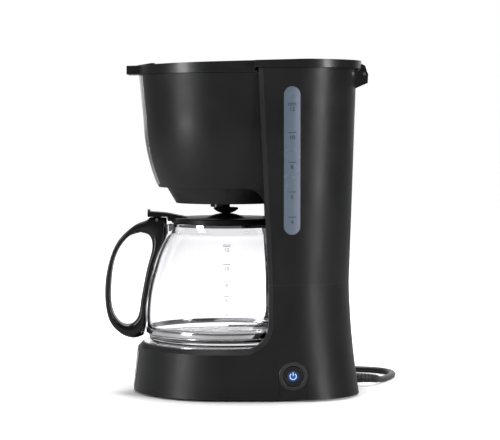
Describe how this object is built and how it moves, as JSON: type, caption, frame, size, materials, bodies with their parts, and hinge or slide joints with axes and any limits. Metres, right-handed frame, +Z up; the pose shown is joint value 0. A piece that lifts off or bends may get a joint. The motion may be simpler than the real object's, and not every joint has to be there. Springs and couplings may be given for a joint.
{
  "type": "drip coffee maker",
  "caption": "Upright drip coffee maker with a glass jug on a round warming plate, a filter housing above it and a water tower with a level window behind.",
  "frame": {"origin": "middle of the machine's footprint on the table, without its lead, at the height of the feet's soles", "axes": "+Z up, -Y towards the user (jug handle side), +X towards the side with the power button and level window"},
  "size_m": [0.3101, 0.2858, 0.314],
  "materials": {
    "black_housing": "fine matte grain",
    "black_gloss": "polished black",
    "steel_trim": "brushed lengthwise",
    "bright_steel": "polished",
    "plate_coating": "non-stick coating",
    "glass": "clear borosilicate",
    "gauge_smoke": "smoky translucent",
    "tank_plastic": "moulded",
    "cast_aluminium": "as cast",
    "rubber": "soft",
    "silicone": "translucent white",
    "cord_sheath": "smooth sheath",
    "wire_insulation": "smooth",
    "mesh_nylon": "fine woven mesh",
    "lens": "translucent, lit",
    "pin_brass": "nickel-plated"
  },
  "bodies": {
    "machine": {"lower_housing": "black_housing", "upper_housing": "black_housing", "hinge_brackets": "black_housing", "gauge_window": "gauge_smoke", "base_plate": "black_housing", "rubber_feet": "rubber", "base_screws": "bright_steel", "seam_screws": "bright_steel", "basket_front_trim": "steel_trim", "base_front_trim": "steel_trim", "warming_plate": "plate_coating", "plate_trim_ring": "bright_steel", "heater_element": "cast_aluminium", "heater_bracket": "bright_steel", "heater_stud": "bright_steel", "thermostat": "pin_brass", "thermal_fuses": "wire_insulation", "cold_water_hose": "silicone", "hot_water_hose": "silicone", "hose_clamps": "bright_steel", "check_valve_cage": "tank_plastic", "check_valve_ball": "bright_steel", "water_tank": "tank_plastic", "tank_outlet_seal": "silicone", "riser_tube": "tank_plastic", "spray_head": "tank_plastic", "filter_basket": "black_housing", "filter_frame": "black_gloss", "filter_mesh": "mesh_nylon", "drip_stop_retainer": "black_housing", "lid_hinge_pin": "bright_steel", "button_bezel": "black_gloss", "switch_body": "black_gloss", "terminal_block": "tank_plastic", "inner_wires": "wire_insulation", "strain_relief": "rubber", "power_cord": "cord_sheath", "cord_coil": "cord_sheath", "plug_lead": "cord_sheath", "cord_tie": "rubber", "plug_body": "rubber", "plug_pins": "pin_brass"},
    "lid": {"top_lid": "black_gloss", "lid_liner": "black_housing"},
    "drip_stop": {"drip_stop_valve": "black_gloss", "drip_stop_seal": "silicone", "drip_stop_spring": "bright_steel"},
    "button": {"power_button": "black_gloss", "button_lens": "lens", "button_spring": "bright_steel"},
    "carafe": {"carafe_glass": "glass", "carafe_handle": "black_gloss", "carafe_neck_band": "bright_steel", "carafe_foot_band": "bright_steel", "handle_screws": "bright_steel", "carafe_lid": "black_gloss", "carafe_lid_pin": "bright_steel"}
  },
  "joints": [
    {"name": "lid_hinge", "type": "hinge", "parent": "machine", "child": "lid", "pos_m": [0, 0.1215, 0.3015], "axis": [-1, 0, 0], "range_deg": [0, 100]},
    {"name": "jug_slide", "type": "slide", "parent": "machine", "child": "carafe", "axis": [0, -1, 0], "range_m": [0, 0.26]},
    {"name": "button_push", "type": "slide", "parent": "machine", "child": "button", "axis": [-1, 0, 0], "range_m": [0, 0.002], "stiffness_N_per_m": 600, "deforming": ["button_spring"]},
    {"name": "drip_stop_lift", "type": "slide", "parent": "machine", "child": "drip_stop", "axis": [0, 0, 1], "range_m": [0, 0.003], "stiffness_N_per_m": 250, "springref_m": -0.001, "deforming": ["drip_stop_spring"]}
  ]
}
